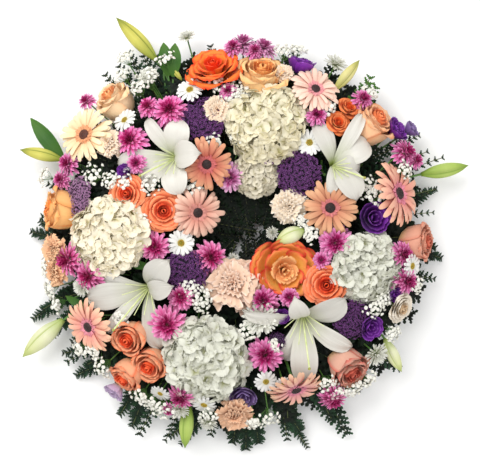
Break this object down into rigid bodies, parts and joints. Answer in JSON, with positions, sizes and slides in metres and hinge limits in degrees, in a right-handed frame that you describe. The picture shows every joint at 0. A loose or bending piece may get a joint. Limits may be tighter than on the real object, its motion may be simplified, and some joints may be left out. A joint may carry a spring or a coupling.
{
  "type": "funeral wreath",
  "caption": "Round funeral wreath of mixed fresh flowers set in a floral foam ring on a back tray, with an open centre.",
  "frame": {"origin": "middle of the wreath's outline, on the surface that the back tray rests on", "axes": "+Z out of the flower face, +Y towards the top of the wreath as it is shown, +X to the right"},
  "size_m": [0.917, 0.898, 0.1824],
  "materials": {
    "tray_plastic": "dark green moulded plastic",
    "floral_foam": "wet green floral foam, matt and crumbly",
    "bud_green": "waxy yellow-green bud",
    "lily_white": "white waxy petal with a green-yellow throat",
    "gerbera_peach": "soft peach ray petals round a darker disc",
    "rose_orange": "velvety orange and peach petals",
    "carnation_peach": "ruffled pale peach petals",
    "mum_pink": "magenta ray petals",
    "daisy_white": "white ray petals round a yellow disc",
    "lisianthus_purple": "deep purple silky petals",
    "trachelium_violet": "domes of tiny violet florets",
    "hydrangea_cream": "cream florets, green between them",
    "gypsophila_white": "clouds of tiny white double florets",
    "fern_green": "leathery dark green fern"
  },
  "bodies": {
    "root": {"back_tray": "tray_plastic", "foam_ring": "floral_foam", "lily_upper_left": "lily_white", "lily_upper_right": "lily_white", "lily_lower_right": "lily_white", "lily_lower_left": "lily_white", "lily_bud_left": "bud_green", "lily_bud_right": "bud_green", "lily_bud_bottom": "bud_green", "lily_bud_inner": "bud_green", "gerbera_pale_left": "gerbera_peach", "gerbera_coral_upper": "gerbera_peach", "gerbera_cream_inner": "gerbera_peach", "gerbera_apricot_right": "gerbera_peach", "gerbera_salmon_right": "gerbera_peach", "gerbera_pale_top": "gerbera_peach", "gerbera_peach_bottom": "gerbera_peach", "gerbera_peach_left": "gerbera_peach", "rose_bicolour_inner": "rose_orange", "rose_bicolour_top": "rose_orange", "rose_peach_top": "rose_orange", "rose_orange_right": "rose_orange", "rose_spray_upper_right": "rose_orange", "rose_salmon_edge": "rose_orange", "rose_salmon_lower": "rose_orange", "rose_garden_orange": "rose_orange", "rose_spray_lower_left": "rose_orange", "rose_spray_left": "rose_orange", "rose_edge_left": "rose_orange", "rose_upper_left": "rose_orange", "rose_cream_right": "rose_orange", "carnation_inner": "carnation_peach", "carnation_cream_right": "carnation_peach", "carnation_spray_left": "carnation_peach", "mum_spray_top": "mum_pink", "mum_spray_upper_left": "mum_pink", "mum_spray_left": "mum_pink", "mum_spray_bottom": "mum_pink", "mum_spray_right": "mum_pink", "daisy_spray_upper": "daisy_white", "daisy_spray_lower": "daisy_white", "lisianthus_top": "lisianthus_purple", "lisianthus_right": "lisianthus_purple", "lisianthus_lower": "lisianthus_purple", "trachelium_upper_right": "trachelium_violet", "trachelium_upper_left": "trachelium_violet", "trachelium_lower_left": "trachelium_violet", "trachelium_lower_right": "trachelium_violet", "trachelium_left": "trachelium_violet", "hydrangea_inner": "hydrangea_cream", "hydrangea_top": "hydrangea_cream", "hydrangea_right": "hydrangea_cream", "hydrangea_bottom": "hydrangea_cream", "hydrangea_left": "hydrangea_cream", "gypsophila_upper": "gypsophila_white", "gypsophila_lower": "gypsophila_white", "fern_left": "fern_green", "fern_lower_left": "fern_green", "fern_bottom": "fern_green", "fern_right": "fern_green"}
  },
  "joints": []
}
